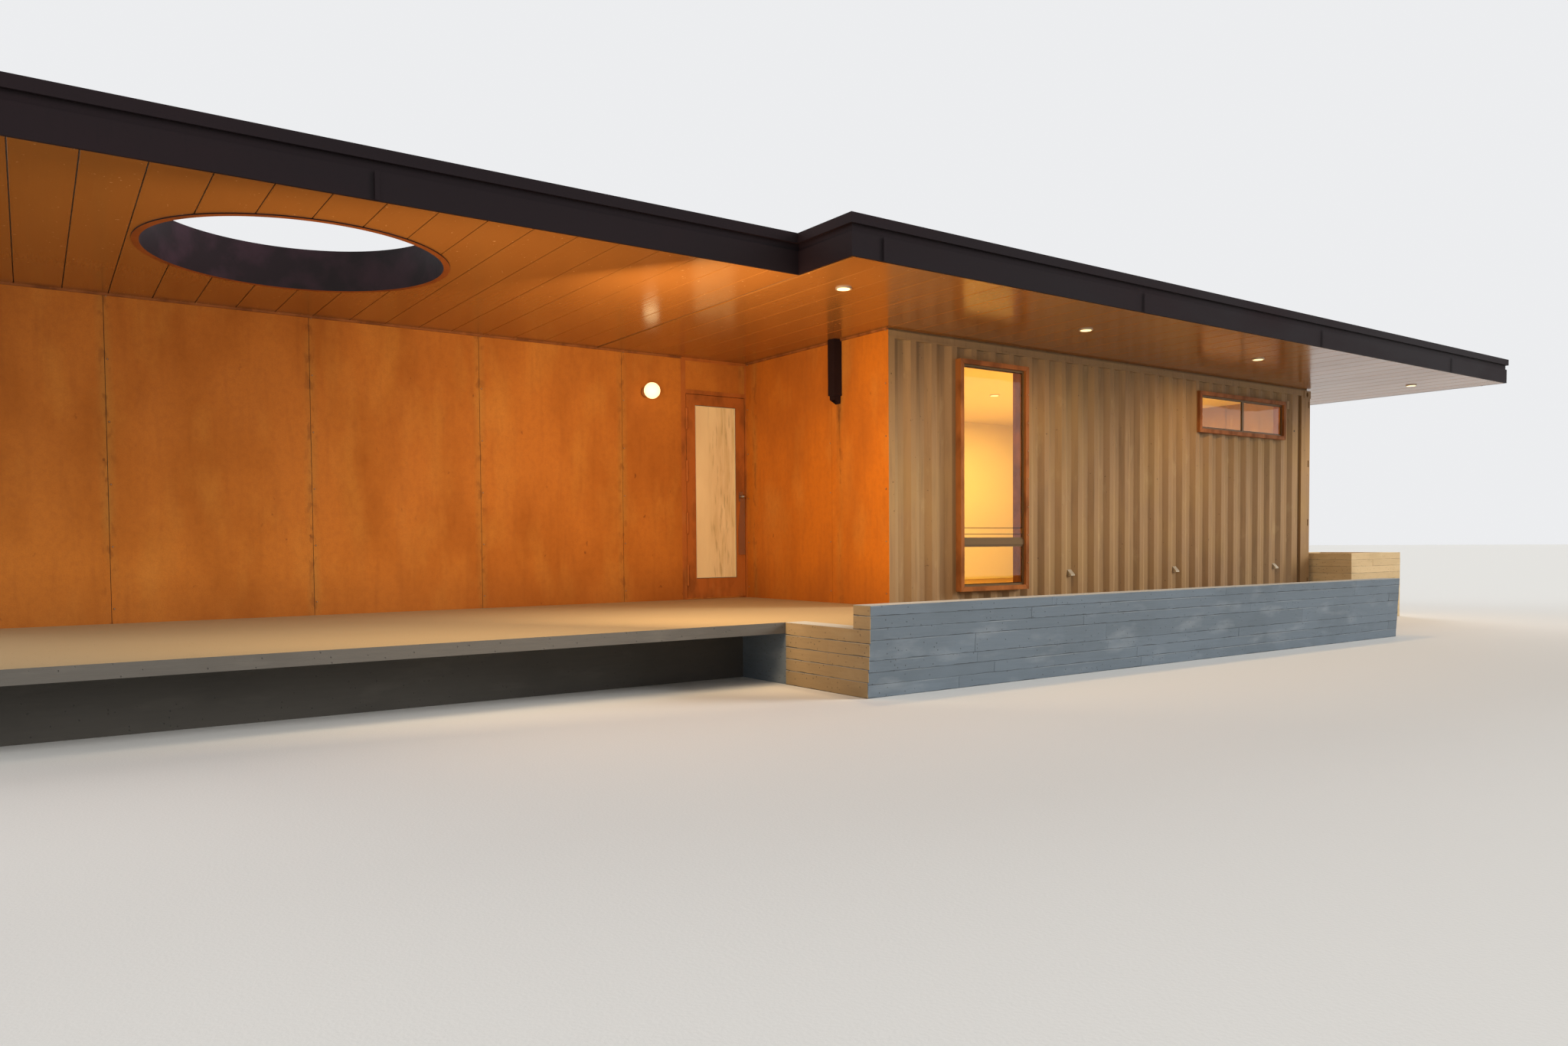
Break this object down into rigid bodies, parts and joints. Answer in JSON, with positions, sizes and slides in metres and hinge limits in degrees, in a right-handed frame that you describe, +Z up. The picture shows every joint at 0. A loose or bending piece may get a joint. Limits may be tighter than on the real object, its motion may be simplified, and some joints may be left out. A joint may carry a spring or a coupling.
{
  "type": "shipping container cabin",
  "caption": "Long flat-roofed cabin made of corrugated steel containers, with a covered porch, a round roof opening, a hinged glazed door and low board-formed concrete walls.",
  "frame": {"origin": "on the ground under the middle of the house", "axes": "+X along the long front to the right, +Y from the front to the back, +Z up"},
  "size_m": [17.51, 7.354, 3.424],
  "materials": {
    "board_formed_concrete": "board-formed, matt",
    "floor_boards": "oiled",
    "container_paint": "semi-gloss bronze paint",
    "wall_lining": "matt white paint",
    "weathered_steel": "rusted, matt",
    "frame_steel": "dark brown satin",
    "glass": "clear",
    "frosted_glass": "frosted",
    "handle_steel": "satin",
    "roof_membrane": "matt",
    "soffit_boards": "semi-gloss stain",
    "fascia_steel": "satin dark bronze",
    "lamp_glass": "opal"
  },
  "bodies": {
    "cabin": {"porch_slab": "board_formed_concrete", "terrace_walls": "board_formed_concrete", "end_planter": "board_formed_concrete", "foundations": "board_formed_concrete", "house_floor": "floor_boards", "ceiling": "wall_lining", "front_wall": "container_paint", "back_wall": "container_paint", "wall_linings": "wall_lining", "container_rails": "container_paint", "corner_posts": "container_paint", "cargo_doors": "container_paint", "lock_rods": "container_paint", "cabin_end_wall": "wall_lining", "cabin_end_sheets": "weathered_steel", "porch_wall": "wall_lining", "porch_sheets": "weathered_steel", "wing_end_wall": "wall_lining", "wing_end_sheets": "weathered_steel", "door_frame": "frame_steel", "transom_panel": "weathered_steel", "jamb_hinges": "frame_steel", "tall_window_frame": "frame_steel", "wide_window_frame": "frame_steel", "window_sashes": "handle_steel", "window_panes": "glass", "porch_roof": "roof_membrane", "cabin_roof": "roof_membrane", "porch_soffit": "soffit_boards", "cabin_soffit": "soffit_boards", "porch_fascia": "fascia_steel", "step_fascia": "fascia_steel", "cabin_fascia": "fascia_steel", "right_fascia": "fascia_steel", "back_fascia": "fascia_steel", "left_fascia": "fascia_steel", "roof_ring": "frame_steel", "downlights": "lamp_glass", "wall_light": "frame_steel", "light_globe": "lamp_glass", "path_lights": "container_paint", "downspout": "fascia_steel"},
    "door": {"door_leaf": "frame_steel", "door_glass": "frosted_glass", "leaf_hinges": "frame_steel", "door_handle": "handle_steel"}
  },
  "joints": [
    {"name": "door_hinge", "type": "hinge", "parent": "cabin", "child": "door", "pos_m": [-1.232, 0.7685, 0.48], "axis": [0, 0, -1], "range_deg": [0, 100]}
  ]
}
